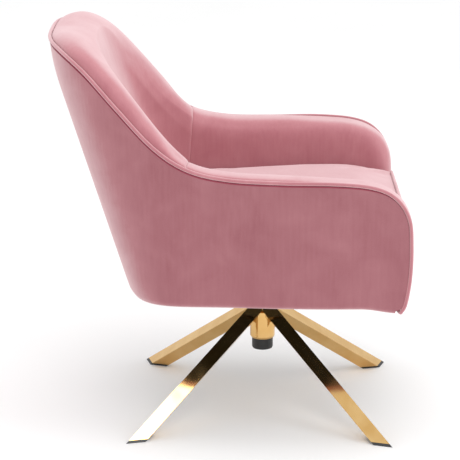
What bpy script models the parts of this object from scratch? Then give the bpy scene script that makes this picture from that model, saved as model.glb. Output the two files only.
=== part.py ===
"""Swivel armchair: an upholstered tub body with wings on a four-legged steel base.

Metres, +Z up. The sitter faces -Y. The origin is on the floor, under the middle of the
whole chair; the swivel axis is parallel to Z and stands SWIVEL_Y behind it.
"""
import math

import bmesh
import bpy
from mathutils import Matrix, Vector

# ---- driving dimensions -------------------------------------------------------------
SWIVEL_Y = -0.0690          # y of the swivel axis
GAP = 0.0003                # clearance between neighbouring pieces

# body outline, seen from the side: (distance in front of the swivel axis, height)
EDGE_POINTS = [
    (0.268, 0.304), (0.279, 0.360), (0.2805, 0.420), (0.275, 0.478), (0.249, 0.519),
    (0.205, 0.540), (0.130, 0.5475), (0.020, 0.548), (-0.075, 0.552), (-0.150, 0.5695),
    (-0.215, 0.612), (-0.285, 0.685), (-0.345, 0.7475), (-0.395, 0.782), (-0.430, 0.794),
]
CORNER_POINT = 4            # entry of EDGE_POINTS on the arm's front top corner
EDGE_STEPS = 6              # steps between two entries of EDGE_POINTS

HALF_WIDTH = 0.3162         # middle plane to the arm's outer face, at the front
TAPER = 0.0205              # how much nearer that face comes towards the back
TAPER_FRONT = 0.14          # the taper starts this far in front of the swivel axis
TAPER_LENGTH = 0.30
BACK_REACH = 0.2700         # swivel axis to the outer back, at the lower edge
BACK_RAKE = 0.3398          # how far the outer back leans out for each metre up
CURL_HEIGHT = 0.70          # above this the outer back curls forward
CURL = 1.37
LOWER_EDGE = 0.300          # height of the body's lower edge at the swivel axis
LOWER_TILT = 0.0236         # the lower edge rises this much for each metre forward
BODY_HEIGHT = 0.50          # lower edge to the height of the upper corner values
CORNER_DEPTH = (0.2134, 0.340)  # depth of the rear corner seen from above, low and high
CORNER_POWER = (4.46, 3.10)     # superellipse power of that corner, low and high
CORNER_SPREAD = 1.9         # evens out the columns round the corner
STRAIGHT_SHARE = 0.5        # share of the wall's run taken by the straight side
NORMAL_REACH = 0.07         # evens out the direction of thickness round the corner
SEAM_SHARE = 0.6            # place of the seam between an arm and the back
SEAM_GAP = 0.003            # half of the slit there, as a share of the run
LEVELS = (0.0, 0.45, 0.8, 0.9, 1.0)     # rows of every layer of the wall, rim at 1
PADDING_BOTTOM = 0.372      # the padding ends here, just above the seat frame

FABRIC = 0.0025
PANEL_OUTER = 0.0048        # panel's outer face behind the outer fabric's outer face
PANEL_INNER = 0.0168
FOAM_OUTER = 0.0183
PANEL_DROP = 0.012          # panel's rim below the body's edge
PANEL_RISE = 0.004          # panel's lower edge above the body's
ARM_THICKNESS = 0.0805
BACK_THICKNESS = 0.098
ARM_CROWN = 0.0060          # how far the padding stands above the edge
WING_CROWN = 0.0245
TOP_CROWN = 0.0070
PADDING_ARCH = (            # (share of the thickness, share of the crown) over the rim
    (0.0, 0.0), (0.17, 0.62), (0.36, 0.97), (0.58, 0.95), (0.80, 0.55), (0.94, -0.15),
)
EDGE_MARGIN = 0.0060        # the padding starts this far inside the outer face
FRONT_BULGES = (            # (distance inside the outer face, bulge) across an arm's front
    (0.0182, 0.004), (0.030, 0.006), (0.045, 0.006), (0.066, 0.004), (0.0785, 0.001),
)
PIPING_RADIUS = 0.0036

SEAT_BOTTOM = 0.3753
SEAT_TOP = 0.453
SEAT_FRONT = 0.283
SEAT_CLEARANCE = 0.0016
BORDER_DEPTH = 0.030
LINING_THICKNESS = 0.001

RAIL_HEIGHT = 0.060
RAIL_THICKNESS = 0.022
RAIL_BOTTOM = 0.3075
FRONT_RAIL = 0.232          # swivel axis to the middle of the front rail
REAR_RAIL = 0.170
CROSS_RAIL_SIZE = (0.050, 0.028)
CROSS_RAIL_SPACING = 0.130
SPRING_RADIUS = 0.0019
SPRING_COUNT = 4
SPRING_SPACING = 0.092
SPRING_BENDS = 14
SPRING_SWING = 0.020        # half the width of a zigzag
SPRING_SAG = 0.010

PLATE_SIDE = 0.190
PLATE_THICKNESS = 0.005
PLATE_TOP = 0.2995
SCREW_SPACING = CROSS_RAIL_SPACING
SCREW_RADIUS = 0.004

LEG_AZIMUTHS = {"front_left": -45.0, "front_right": -135.0, "rear_left": 45.0, "rear_right": 135.0}
BASE_TURN = -2.2            # degrees by which the base rests turned under the seat
LEG_SIDE = 0.026            # square tube, standing on its edge
LEG_WALL = 0.0015
LEG_SPREAD = 0.341          # axis to the place where a leg's middle line meets the floor
LEG_RISE = 0.219            # height at which that line meets the swivel axis
FOOT_HEIGHT = 0.0045

CORE_RADIUS = 0.0190
CORE_BORE = 0.0150
CORE_BOTTOM = 0.146
CORE_TOP = 0.250
SLEEVE_RADIUS = 0.0258
SLEEVE_BOTTOM = 0.143
SLEEVE_TOP = 0.205
CAP_RADIUS = 0.0218
CAP_BOTTOM = 0.1187
SPINDLE_RADIUS = 0.0120
BUSH_LENGTH = 0.022
BALL_RADIUS = 0.0030
BALL_CIRCLE = 0.0195
BALL_COUNT = 8
RACE_THICKNESS = 0.0025
RACE_RADIUS = 0.0245
TURN_STEPS = 32
CAP_FLOOR = 0.003           # thickness of the hub end cap's closed end
CAP_WALL = 0.002
BOSS_RADIUS = 0.036         # spindle's flared boss under the swivel plate
BOSS_NECK = 0.026
STUD_RADIUS = 0.008         # thinner lower end of the spindle, held by the nut
NUT_RADIUS = 0.0125
NUT_HEIGHT = 0.012
WASHER_RADIUS = 0.0145
SCREW_HEAD_RADIUS = 0.0075
SCREW_HEAD_HEIGHT = 0.005
SCREW_REACH = 0.024         # length of a screw above the swivel plate
BUSH_SET_BACK = 0.012       # lower bush above the hub tube's lower end

PINK = (0.58, 0.25, 0.29)
GOLD = (0.80, 0.58, 0.28)
BLACK = (0.02, 0.02, 0.022)
STEEL = (0.55, 0.55, 0.57)
NYLON = (0.85, 0.84, 0.80)
WOOD = (0.62, 0.45, 0.28)
FOAM = (0.90, 0.86, 0.70)
LINING = (0.05, 0.05, 0.05)


# ---- helpers --------------------------------------------------------------------------
def start_clean():
    for obj in list(bpy.data.objects):
        bpy.data.objects.remove(obj, do_unlink=True)


def new_collection(name):
    collection = bpy.data.collections.new(name)
    bpy.context.scene.collection.children.link(collection)
    return collection


def move_to(obj, collection):
    for other in list(obj.users_collection):
        other.objects.unlink(obj)
    collection.objects.link(obj)


def make_material(name, color, roughness, metallic):
    material = bpy.data.materials.new(name)
    material.use_nodes = True
    shader = material.node_tree.nodes["Principled BSDF"]
    shader.inputs["Base Color"].default_value = (*color, 1.0)
    shader.inputs["Roughness"].default_value = roughness
    shader.inputs["Metallic"].default_value = metallic
    material.diffuse_color = (*color, 1.0)
    return material


def finish(obj, name, look, smooth=False):
    """Names an object, gives it its own material and files it with the chair's parts."""
    obj.name = name
    obj.data.name = name
    obj.data.materials.clear()
    obj.data.materials.append(make_material(name, *look))
    move_to(obj, parts)
    if smooth:
        obj.data.shade_smooth()
    return obj


def mesh_object(name, mesh):
    obj = bpy.data.objects.new(name, mesh)
    bpy.context.scene.collection.objects.link(obj)
    return obj


def box(name, size, centre, look, rotation=(0.0, 0.0, 0.0)):
    bpy.ops.mesh.primitive_cube_add(size=1.0, location=centre, rotation=rotation)
    obj = bpy.context.active_object
    obj.scale = size
    bpy.ops.object.transform_apply(location=False, rotation=False, scale=True)
    return finish(obj, name, look)


def make_cutter(obj):
    move_to(obj, cutters)
    obj.hide_render = True
    obj.display_type = "WIRE"
    return obj


def boolean(obj, other, operation="DIFFERENCE"):
    modifier = obj.modifiers.new(operation.lower(), "BOOLEAN")
    modifier.operation = operation
    modifier.solver = "EXACT"
    modifier.object = make_cutter(other)


def cylinder_cutter(radius, bottom, top, x, y, sides=TURN_STEPS):
    bpy.ops.mesh.primitive_cylinder_add(
        vertices=sides, radius=radius, depth=top - bottom, location=(x, y, (top + bottom) / 2)
    )
    return bpy.context.active_object


def turned(name, profile, look, steps=TURN_STEPS):
    """Turns a closed profile of (radius, height), outer side first and downwards."""
    mesh = bpy.data.meshes.new(name)
    points = [(radius, 0.0, height) for radius, height in profile]
    count = len(points)
    on_axis = profile[0][0] == 0.0
    edges = [(i, i + 1) for i in range(count - 1)]
    if not on_axis:
        edges.append((count - 1, 0))
    mesh.from_pydata(points, edges, [])
    obj = mesh_object(name, mesh)
    obj.location = (0.0, SWIVEL_Y, 0.0)
    screw = obj.modifiers.new("turn", "SCREW")
    screw.steps = steps
    screw.render_steps = steps
    screw.use_merge_vertices = True
    screw.merge_threshold = 0.00005
    return finish(obj, name, look, smooth=True)


def ring(name, outer, inner, bottom, top, look):
    profile = [(outer, top), (outer, bottom), (inner, bottom), (inner, top)]
    return turned(name, profile, look)


def close_mesh(name, bm):
    bmesh.ops.recalc_face_normals(bm, faces=bm.faces)
    mesh = bpy.data.meshes.new(name)
    bm.to_mesh(mesh)
    bm.free()
    return mesh_object(name, mesh)


def loft(name, loops, look, first_cap=True, last_cap=True):
    """Joins closed loops of equal length, in order, and closes the two ends."""
    bm = bmesh.new()
    rows = [[bm.verts.new(point) for point in loop] for loop in loops]
    count = len(rows[0])
    for lower, upper in zip(rows, rows[1:]):
        for i in range(count):
            j = (i + 1) % count
            bm.faces.new((lower[i], lower[j], upper[j], upper[i]))
    if first_cap:
        bm.faces.new(rows[0])
    if last_cap:
        bm.faces.new(rows[-1])
    return finish(close_mesh(name, bm), name, look)


def outline_solid(name, outline, bottom, top, look):
    """A flat outline of (x, y) raised from bottom to top, as a filled curve."""
    curve = bpy.data.curves.new(name, "CURVE")
    curve.dimensions = "2D"
    curve.fill_mode = "BOTH"
    curve.extrude = (top - bottom) / 2
    spline = curve.splines.new("POLY")
    spline.points.add(len(outline) - 1)
    for point, (x, y) in zip(spline.points, outline):
        point.co = (x, y, 0.0, 1.0)
    spline.use_cyclic_u = True
    holder = bpy.data.objects.new(name, curve)
    bpy.context.scene.collection.objects.link(holder)
    holder.location = (0.0, 0.0, (top + bottom) / 2)
    return curve_to_mesh(name, holder, look)


def tube(name, points, radius, look):
    """A round cord or wire along a list of points."""
    curve = bpy.data.curves.new(name, "CURVE")
    curve.dimensions = "3D"
    curve.bevel_depth = radius
    curve.bevel_resolution = 1
    curve.use_fill_caps = True
    spline = curve.splines.new("POLY")
    spline.points.add(len(points) - 1)
    for point, place in zip(spline.points, points):
        point.co = (*place, 1.0)
    holder = bpy.data.objects.new(name, curve)
    bpy.context.scene.collection.objects.link(holder)
    return curve_to_mesh(name, holder, look)


def curve_to_mesh(name, holder, look):
    """Turns a curve object into a mesh whose caps are welded to its sides."""
    bpy.context.view_layer.update()
    evaluated = holder.evaluated_get(bpy.context.evaluated_depsgraph_get())
    mesh = bpy.data.meshes.new_from_object(evaluated)
    bm = bmesh.new()
    bm.from_mesh(mesh)
    bmesh.ops.remove_doubles(bm, verts=bm.verts, dist=0.00002)
    bmesh.ops.recalc_face_normals(bm, faces=bm.faces)
    bm.to_mesh(mesh)
    bm.free()
    obj = mesh_object(name, mesh)
    obj.matrix_world = holder.matrix_world
    bpy.data.objects.remove(holder, do_unlink=True)
    return finish(obj, name, look)


# ---- the wall: one curved surface that the panels, pads and covers all follow ----------
def smooth_step(value):
    value = min(max(value, 0.0), 1.0)
    return value * value * (3.0 - 2.0 * value)


def curve_through(points, steps):
    """Catmull-Rom curve through the points, with so many steps between two of them."""
    ends = [points[0], *points, points[-1]]
    result = []
    for a, b, c, d in zip(ends, ends[1:], ends[2:], ends[3:]):
        for step in range(steps):
            t = step / steps
            weights = (
                (-t + 2 * t * t - t ** 3) / 2, (2 - 5 * t * t + 3 * t ** 3) / 2,
                (t + 4 * t * t - 3 * t ** 3) / 2, (t ** 3 - t * t) / 2,
            )
            result.append(tuple(sum(w * p[k] for w, p in zip(weights, (a, b, c, d))) for k in (0, 1)))
    result.append(points[-1])
    return result


def offset_curve(points, drop):
    """Moves a side outline by drop towards the body's inside."""
    moved = []
    for i, (forward, height) in enumerate(points):
        before = points[max(i - 1, 0)]
        after = points[min(i + 1, len(points) - 1)]
        run = Vector((after[0] - before[0], after[1] - before[1])).normalized()
        moved.append((forward - run.y * drop, height + run.x * drop))
    return moved


def look_up(pairs, value):
    """Reads a piecewise straight line of (input, output) pairs in rising order."""
    if value <= pairs[0][0]:
        return pairs[0][1]
    for (x0, y0), (x1, y1) in zip(pairs, pairs[1:]):
        if value <= x1:
            return y0 + (y1 - y0) * (value - x0) / (x1 - x0)
    return pairs[-1][1]


def back_reach(height):
    curl = max(height - CURL_HEIGHT, 0.0)
    return BACK_REACH + (height - LOWER_EDGE) * BACK_RAKE - CURL * curl * curl


def at_height(pair, height):
    """Reads a (low, high) pair of corner values at a height."""
    rise = min(max((height - LOWER_EDGE) / BODY_HEIGHT, 0.0), 1.0)
    return pair[0] + (pair[1] - pair[0]) * rise


def half_width(forward):
    return HALF_WIDTH - TAPER * smooth_step((TAPER_FRONT - forward) / TAPER_LENGTH)


class Wall:
    """The body's outer face, with its rim moved inwards by drop."""

    def __init__(self, drop=0.0):
        edge = offset_curve(curve_through(EDGE_POINTS, EDGE_STEPS), drop)
        corner = CORNER_POINT * EDGE_STEPS
        self.corner = edge[corner]
        self.rise = PANEL_RISE if drop == PANEL_DROP else 0.0
        self.front = [(height, forward) for forward, height in edge[:corner + 1]]
        self.top = [(-forward, height) for forward, height in edge[corner:]]

    def plan(self, share, level, height):
        """Forward distance and half width at a share of the run from front to back."""
        depth, power = (at_height(pair, height) for pair in (CORNER_DEPTH, CORNER_POWER))
        corner_start = depth - back_reach(height)
        if share <= STRAIGHT_SHARE:
            low = self.front[0][0]
            front = look_up(self.front, low + level * (self.corner[1] - low))
            forward = front + (corner_start - front) * share / STRAIGHT_SHARE
            return forward, half_width(forward)
        part = (share - STRAIGHT_SHARE) / (1.0 - STRAIGHT_SHARE)
        near, far = part ** CORNER_SPREAD, (1.0 - part) ** CORNER_SPREAD
        angle = near / (near + far) * math.pi / 2
        forward = corner_start - depth * math.sin(angle) ** (2 / power)
        across = max(math.cos(angle), 0.0) ** (2 / power)
        return forward, half_width(forward) * across

    def top_height(self, share):
        height = self.corner[1]
        for _ in range(40):
            forward, _ = self.plan(share, 1.0, height)
            height += 0.4 * (look_up(self.top, -forward) - height)
        return height

    def point(self, share, level, inset=0.0, side=1.0):
        """A point at a share of the run and a level between lower edge and rim."""
        place = self.surface(share, level)
        if inset:
            before = self.surface(max(share - NORMAL_REACH, 0.0), level)
            after = self.surface(min(share + NORMAL_REACH, 1.0), level)
            if share >= 1.0:
                after = Vector((-before.x, before.y, before.z))
            run = Vector((after.x - before.x, after.y - before.y, 0.0)).normalized()
            place = place + inset * Vector((-run.y, run.x, 0.0))
        return Vector((place.x * side, place.y, place.z))

    def surface(self, share, level):
        top = self.top_height(share)
        forward, _ = self.plan(share, 0.0, LOWER_EDGE)
        bottom = LOWER_EDGE + LOWER_TILT * forward + self.rise
        height = bottom + level * (top - bottom)
        forward, across = self.plan(share, level, height)
        return Vector((across, SWIVEL_Y - forward, height))

    def up(self, share):
        """Direction in which the padding stands up from the rim."""
        step = 0.01
        run = self.surface(min(share + step, 1.0), 1.0) - self.surface(max(share - step, 0.0), 1.0)
        rise = self.surface(share, 1.0) - self.surface(share, 0.6)
        run.normalize()
        return (rise - rise.dot(run) * run).normalized()

    def level_at(self, share, height):
        low = self.surface(share, 0.0).z
        return (height - low) / (self.surface(share, 1.0).z - low)


def shares(first, last, count):
    return [first + (last - first) * i / count for i in range(count + 1)]


ARM_COLUMNS = shares(0.0, STRAIGHT_SHARE, 7) + shares(STRAIGHT_SHARE, SEAM_SHARE - SEAM_GAP, 2)[1:]
PADDED_COLUMNS = [0.014, *ARM_COLUMNS[1:]]
BACK_COLUMNS = shares(SEAM_SHARE + SEAM_GAP, 1.0, 10)


def mirrored(loops):
    return [[Vector((-p.x, p.y, p.z)) for p in loop] for loop in loops]


def both_ways(half):
    """Sections from one side round the middle, the last one, to the other side."""
    return half + mirrored(half[-2::-1])


# ---- base: legs, feet and hub ------------------------------------------------------------
def azimuth_of(place):
    return math.radians(LEG_AZIMUTHS[place] + BASE_TURN)


def leg_bar(side, azimuth, length=0.5):
    """Solid square bar on its edge along a leg's middle line, out from the swivel axis."""
    slope = math.atan2(LEG_RISE, LEG_SPREAD)
    turn = Matrix.Rotation(azimuth, 4, "Z") @ Matrix.Rotation(slope, 4, "Y")
    turn = turn @ Matrix.Rotation(math.radians(45), 4, "X")
    middle = Vector((length / 2, 0.0, 0.0))
    bpy.ops.mesh.primitive_cube_add(size=1.0)
    bar = bpy.context.active_object
    bar.data.transform(Matrix.Translation(middle) @ Matrix.Diagonal((length, side, side, 1.0)))
    bar.matrix_world = Matrix.Translation((0.0, SWIVEL_Y, LEG_RISE)) @ turn
    return bar


def leg_wedge(azimuth):
    """Space of one leg: a quarter circle outside the hub tube, above the foot cap."""
    reach = 0.45
    radius = CORE_RADIUS + GAP
    mitre = math.radians(44)
    arc = [(radius * math.cos(a), radius * math.sin(a)) for a in shares(-mitre, mitre, 10)]
    outline = [(reach, -reach + 0.02), *arc, (reach, reach - 0.02)]
    turned_outline = [
        (x * math.cos(azimuth) - y * math.sin(azimuth),
         SWIVEL_Y + x * math.sin(azimuth) + y * math.cos(azimuth)) for x, y in outline
    ]
    return outline_solid("leg_space", turned_outline, FOOT_HEIGHT + GAP, 0.3, (BLACK, 0.5, 0.0))


def slab(bottom, top):
    bpy.ops.mesh.primitive_cube_add(size=1.0, location=(0.0, SWIVEL_Y, (bottom + top) / 2))
    obj = bpy.context.active_object
    obj.scale = (1.2, 1.2, top - bottom)
    bpy.ops.object.transform_apply(location=False, rotation=False, scale=True)
    return obj


def make_leg(name, azimuth):
    leg = finish(leg_bar(LEG_SIDE, azimuth), name, (GOLD, 0.12, 1.0))
    boolean(leg, leg_bar(LEG_SIDE - 2 * LEG_WALL, azimuth, 0.6))
    boolean(leg, leg_wedge(azimuth), "INTERSECT")


def make_foot(name, azimuth):
    """Plastic end cap: a sole that wraps the cut end and a plug inside the tube."""
    foot = finish(leg_bar(LEG_SIDE, azimuth), name, (BLACK, 0.5, 0.0))
    boolean(foot, slab(0.0, FOOT_HEIGHT), "INTERSECT")
    plug = leg_bar(LEG_SIDE - 2 * LEG_WALL - 2 * GAP, azimuth)
    boolean(plug, slab(FOOT_HEIGHT / 2, 0.022), "INTERSECT")
    boolean(foot, plug, "UNION")


def make_hub():
    chamfer = 0.004
    sleeve = turned("hub_sleeve", [
        (SLEEVE_RADIUS - chamfer, SLEEVE_TOP), (SLEEVE_RADIUS, SLEEVE_TOP - chamfer),
        (SLEEVE_RADIUS, SLEEVE_BOTTOM + chamfer), (SLEEVE_RADIUS - 0.0022, SLEEVE_BOTTOM),
        (CORE_RADIUS + GAP, SLEEVE_BOTTOM), (CORE_RADIUS + GAP, SLEEVE_TOP),
    ], (GOLD, 0.15, 1.0))
    for place in LEG_AZIMUTHS:
        boolean(sleeve, leg_bar(LEG_SIDE + 2 * GAP, azimuth_of(place)))
    ring("hub_tube", CORE_RADIUS, CORE_BORE, CORE_BOTTOM, CORE_TOP, (GOLD, 0.2, 1.0))
    bush_outer = CORE_BORE - GAP / 3
    bush_inner = SPINDLE_RADIUS + 0.00008
    ring("upper_bush", bush_outer, bush_inner, CORE_TOP - BUSH_LENGTH, CORE_TOP - GAP, (NYLON, 0.4, 0.0))
    bush_bottom = CORE_BOTTOM + BUSH_SET_BACK
    ring("lower_bush", bush_outer, bush_inner, bush_bottom, bush_bottom + BUSH_LENGTH, (NYLON, 0.4, 0.0))
    cap_top = SLEEVE_BOTTOM - GAP
    cap_floor = CAP_BOTTOM + CAP_FLOOR
    rim = CAP_RADIUS - CAP_WALL
    rounding = 2 * CAP_WALL
    turned("hub_end_cap", [
        (0.0, cap_floor), (rim - CAP_WALL, cap_floor),
        (rim, cap_floor + CAP_FLOOR), (rim, cap_top), (CAP_RADIUS, cap_top),
        (CAP_RADIUS, CAP_BOTTOM + rounding), (CAP_RADIUS - rounding / 3, CAP_BOTTOM + rounding / 4),
        (CAP_RADIUS - rounding, CAP_BOTTOM), (0.0, CAP_BOTTOM),
    ], (BLACK, 0.4, 0.0))


def make_thrust_bearing():
    lower = CORE_TOP + GAP
    ball_middle = lower + RACE_THICKNESS + GAP + BALL_RADIUS
    upper = ball_middle + BALL_RADIUS + GAP
    bore = SPINDLE_RADIUS + 0.0006
    ring("lower_race", RACE_RADIUS, bore, lower, lower + RACE_THICKNESS, (STEEL, 0.25, 1.0))
    ring("upper_race", RACE_RADIUS, bore, upper, upper + RACE_THICKNESS, (STEEL, 0.25, 1.0))
    cage = ring("ball_cage", RACE_RADIUS - 0.0008, bore + 0.0008, ball_middle - 0.0012,
                ball_middle + 0.0012, (NYLON, 0.5, 0.0))
    for i in range(BALL_COUNT):
        angle = 2 * math.pi * (i + 0.5) / BALL_COUNT
        x = BALL_CIRCLE * math.cos(angle)
        y = SWIVEL_Y + BALL_CIRCLE * math.sin(angle)
        boolean(cage, cylinder_cutter(BALL_RADIUS + GAP, ball_middle - 0.01, ball_middle + 0.01, x, y, 12))
        bpy.ops.mesh.primitive_uv_sphere_add(
            segments=12, ring_count=8, radius=BALL_RADIUS, location=(x, y, ball_middle)
        )
        finish(bpy.context.active_object, f"bearing_ball_{i + 1}", (STEEL, 0.1, 1.0), smooth=True)
    return upper + RACE_THICKNESS


# ---- swivelling mechanism -------------------------------------------------------------------
def make_spindle(race_top):
    """Shaft with a flared boss that is welded under the swivel plate."""
    boss_top = PLATE_TOP - PLATE_THICKNESS - GAP
    shoulder = CORE_BOTTOM + 0.006
    stud_end = CAP_BOTTOM + 0.009
    turned("spindle", [
        (0.0, boss_top), (BOSS_RADIUS, boss_top), (BOSS_RADIUS, boss_top - 0.004),
        (BOSS_NECK, race_top + 0.008), (BOSS_NECK, race_top + GAP), (SPINDLE_RADIUS, race_top + GAP),
        (SPINDLE_RADIUS, shoulder), (STUD_RADIUS, shoulder), (STUD_RADIUS, stud_end), (0.0, stud_end),
    ], (STEEL, 0.35, 1.0))
    nut_top = CORE_BOTTOM - 0.0015 - GAP
    ring("retaining_washer", WASHER_RADIUS, STUD_RADIUS + GAP, nut_top + GAP, shoulder - GAP,
         (STEEL, 0.4, 1.0))
    nut = cylinder_cutter(NUT_RADIUS, nut_top - NUT_HEIGHT, nut_top, 0.0, SWIVEL_Y, 6)
    finish(nut, "retaining_nut", (STEEL, 0.4, 1.0))
    boolean(nut, cylinder_cutter(STUD_RADIUS + GAP, stud_end - 0.01, nut_top + 0.01, 0.0, SWIVEL_Y, 24))


def screw_places():
    half = SCREW_SPACING / 2
    return [(x, SWIVEL_Y + y) for x in (-half, half) for y in (-half, half)]


def make_plate_and_screws():
    middle = PLATE_TOP - PLATE_THICKNESS / 2
    plate = box("swivel_plate", (PLATE_SIDE, PLATE_SIDE, PLATE_THICKNESS), (0.0, SWIVEL_Y, middle),
                (BLACK, 0.45, 0.3))
    head_top = PLATE_TOP - PLATE_THICKNESS - GAP
    for i, (x, y) in enumerate(screw_places()):
        boolean(plate, cylinder_cutter(SCREW_RADIUS + 2 * GAP, head_top, PLATE_TOP + 0.01, x, y, 16))
        head_bottom = head_top - SCREW_HEAD_HEIGHT
        tip = PLATE_TOP + SCREW_REACH
        screw = turned(f"plate_screw_{i + 1}", [
            (0.0, tip), (SCREW_RADIUS, tip - SCREW_RADIUS), (SCREW_RADIUS, head_top),
            (SCREW_HEAD_RADIUS, head_top), (SCREW_HEAD_RADIUS, head_bottom + 0.0015),
            (SCREW_HEAD_RADIUS - 0.0015, head_bottom), (0.0, head_bottom),
        ], (STEEL, 0.35, 1.0), steps=16)
        screw.location = (x, y, 0.0)


# ---- seat frame and springs --------------------------------------------------------------------
def rail_line(inset, count=12):
    """A line of (x, y) inside the side panel, along which a side rail runs."""
    wall = Wall()
    places = [wall.point(share, 0.0, inset) for share in shares(0.05, 0.66, count)]
    return [(place.x, place.y) for place in places]


def make_side_rail(name, side):
    outer = rail_line(PANEL_INNER + 0.002)
    inner = rail_line(PANEL_INNER + RAIL_THICKNESS)
    outline = [(x * side, y) for x, y in outer + inner[::-1]]
    outline_solid(name, outline, RAIL_BOTTOM, RAIL_BOTTOM + RAIL_HEIGHT, (WOOD, 0.6, 0.0))


def make_cross_member(name, y, depth, bottom, height, holes=False):
    """A rail from side rail to side rail, with ends cut to their slant."""
    line = [(place, x) for x, place in rail_line(PANEL_INNER + RAIL_THICKNESS + 0.0025)]
    low, high = y - depth / 2, y + depth / 2
    near = look_up(line, low)
    far = look_up(line, high)
    outline = [(-near, low), (near, low), (far, high), (-far, high)]
    rail = outline_solid(name, outline, bottom, bottom + height, (WOOD, 0.6, 0.0))
    for x, place in screw_places() if holes else []:
        if low < place < high:
            boolean(rail, cylinder_cutter(SCREW_RADIUS + 0.0005, bottom - 0.01, bottom + 0.025, x, place, 16))
    return rail


def make_seat_frame():
    make_side_rail("left_rail", 1.0)
    make_side_rail("right_rail", -1.0)
    front_y = SWIVEL_Y - FRONT_RAIL
    rear_y = SWIVEL_Y + REAR_RAIL
    make_cross_member("front_rail", front_y, RAIL_THICKNESS, RAIL_BOTTOM, RAIL_HEIGHT)
    make_cross_member("rear_rail", rear_y, RAIL_THICKNESS, RAIL_BOTTOM, RAIL_HEIGHT)
    width, height = CROSS_RAIL_SIZE
    for name, offset in (("front_cross_rail", -0.5), ("rear_cross_rail", 0.5)):
        y = SWIVEL_Y + offset * CROSS_RAIL_SPACING
        make_cross_member(name, y, width, PLATE_TOP + GAP, height, True)
    return front_y, rear_y


def make_springs(front_y, rear_y):
    """Zigzag springs from the front rail to the rear rail, just above their tops."""
    height = RAIL_BOTTOM + RAIL_HEIGHT + SPRING_RADIUS + GAP
    steps = SPRING_BENDS * 4
    for i in range(SPRING_COUNT):
        middle = (i - (SPRING_COUNT - 1) / 2) * SPRING_SPACING
        points = []
        for step in range(steps + 1):
            t = step / steps
            x = middle + SPRING_SWING * math.sin(t * SPRING_BENDS * math.pi)
            sag = SPRING_SAG * max(math.sin((t - 0.1) / 0.8 * math.pi), 0.0)
            points.append((x, front_y + t * (rear_y - front_y), height - sag))
        tube(f"seat_spring_{i + 1}", points, SPRING_RADIUS, (STEEL, 0.4, 1.0))


# ---- panels, padding and covers ------------------------------------------------------------------
def thickness(share):
    """Outer face to the padding's inner face."""
    return ARM_THICKNESS + (BACK_THICKNESS - ARM_THICKNESS) * smooth_step((share - SEAM_SHARE) / 0.15)


def crown(share):
    """How far the padding stands above the rim."""
    wing = smooth_step((share - SEAM_SHARE + 0.02) / 0.06)
    back = smooth_step((share - 0.70) / 0.22)
    return ARM_CROWN + (WING_CROWN - ARM_CROWN) * wing + (TOP_CROWN - WING_CROWN) * back


def padding_path(share, shrink):
    """Section of the padding from the outer rim over the crown and down the inside."""
    wall = Wall()
    lift = crown(share)
    up = wall.up(share)
    depth = thickness(share)
    path = []
    for across, part in PADDING_ARCH:
        inset = max(across * depth, EDGE_MARGIN)
        inside = inset + shrink * (1.0 - 2.0 * inset / depth)
        path.append(wall.point(share, 1.0, inside) + (lift * part - shrink) * up)
    bottom = wall.level_at(share, PADDING_BOTTOM)
    for level in shares(0.88, bottom, 4):
        path.append(wall.point(share, level, depth - shrink))
    return path


def panel_section(share):
    wall = Wall(PANEL_DROP)
    outer = [wall.point(share, level, PANEL_OUTER) for level in LEVELS]
    inner = [wall.point(share, level, PANEL_INNER) for level in LEVELS[::-1]]
    return outer + inner


def foam_section(share):
    wall = Wall(PANEL_DROP)
    bottom = wall.level_at(share, PADDING_BOTTOM)
    outer = [wall.point(share, level, FOAM_OUTER) for level in (bottom, *LEVELS[1:])]
    return padding_path(share, 0.0068)[1:] + outer


def cover_section(share):
    return padding_path(share, 0.0) + padding_path(share, FABRIC)[::-1]


def make_upholstered_parts():
    """Panel, foam and inner cover of each arm and of the back."""
    layers = (("panel", panel_section, (WOOD, 0.6, 0.0)), ("foam", foam_section, (FOAM, 0.9, 0.0)),
              ("inner_cover", cover_section, (PINK, 0.8, 0.0)))
    for layer, section, look in layers:
        columns = ARM_COLUMNS if layer == "panel" else PADDED_COLUMNS
        arm = [section(share) for share in columns]
        loft(f"left_arm_{layer}", arm, look)
        loft(f"right_arm_{layer}", mirrored(arm), look)
        loft(f"back_{layer}", both_ways([section(share) for share in BACK_COLUMNS]), look)


def make_arm_front(name, side):
    """Padded facing that closes the front of an arm, inside the piping."""
    loops = []
    for inset, bulge in FRONT_BULGES:
        outer = Wall(-bulge)
        inner = Wall(EDGE_MARGIN)
        levels = shares(0.0, 0.90, 6)
        front = [outer.point(0.0, level, inset, side) for level in levels]
        rear = [inner.point(0.0, level, inset, side) for level in levels[::-1]]
        loops.append(front + rear)
    loft(name, loops, (PINK, 0.8, 0.0))


def make_outer_cover():
    """The one outer cover, round both sides and the back."""
    wall = Wall(PIPING_RADIUS + 0.0018)

    def section(share):
        outer = [wall.point(share, level, 0.0) for level in LEVELS]
        inner = [wall.point(share, level, FABRIC) for level in LEVELS[::-1]]
        return outer + inner

    loft("outer_cover", both_ways([section(share) for share in ARM_COLUMNS + BACK_COLUMNS]), (PINK, 0.8, 0.0))


def make_edge_piping():
    wall = Wall()
    half = [wall.point(0.0, level) for level in shares(0.03, 1.0, 8)]
    half += [wall.point(share, 1.0) for share in shares(0.0, STRAIGHT_SHARE, 18)[1:]]
    half += [wall.point(share, 1.0) for share in shares(STRAIGHT_SHARE, 1.0, 20)[1:]]
    tube("edge_piping", both_ways_points(half), PIPING_RADIUS, (PINK, 0.7, 0.0))


def both_ways_points(half):
    return half + [Vector((-p.x, p.y, p.z)) for p in half[-2::-1]]


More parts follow.
